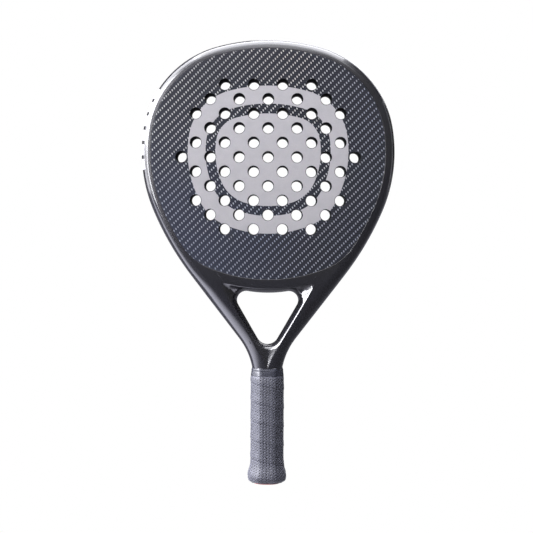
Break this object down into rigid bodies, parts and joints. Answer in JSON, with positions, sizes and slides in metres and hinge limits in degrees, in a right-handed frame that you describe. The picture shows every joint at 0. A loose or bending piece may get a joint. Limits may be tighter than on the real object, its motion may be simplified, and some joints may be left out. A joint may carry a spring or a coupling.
{
  "type": "padel racket",
  "caption": "Padel racket: closed composite frame round a drilled foam core with woven faces, an open triangular throat and a wrapped octagonal handle.",
  "frame": {"origin": "centre of the lowest point of the butt, in the middle of the thickness", "axes": "+Z from the butt to the top of the head, -Y out of the front face, X across the width"},
  "size_m": [0.2586, 0.038, 0.455],
  "materials": {
    "rim_lacquer": "satin",
    "filler_foam": "matte",
    "eva_foam": "matte",
    "glass_laminate": "satin",
    "carbon_twill": "satin",
    "silver_film": "matte",
    "pallet_foam": "matte",
    "cap_plastic": "satin",
    "red_plastic": "gloss",
    "staple_steel": "satin",
    "base_grip": "matte",
    "overgrip": "matte",
    "finishing_tape": "gloss"
  },
  "bodies": {
    "root": {"frame_tube": "rim_lacquer", "frame_tube_foam": "filler_foam", "throat_bridge": "rim_lacquer", "throat_bridge_foam": "filler_foam", "eva_core": "eva_foam", "front_glass_ply": "glass_laminate", "back_glass_ply": "glass_laminate", "front_carbon_face": "carbon_twill", "back_carbon_face": "carbon_twill", "front_face_mark": "silver_film", "back_face_mark": "silver_film", "rim_side_blocks": "silver_film", "front_handle_pallet": "pallet_foam", "back_handle_pallet": "pallet_foam", "butt_cap": "cap_plastic", "butt_end_plate": "red_plastic", "cap_staples": "staple_steel", "grip_start_staple": "staple_steel", "base_grip": "base_grip", "overgrip": "overgrip", "finishing_tape": "finishing_tape"}
  },
  "joints": []
}
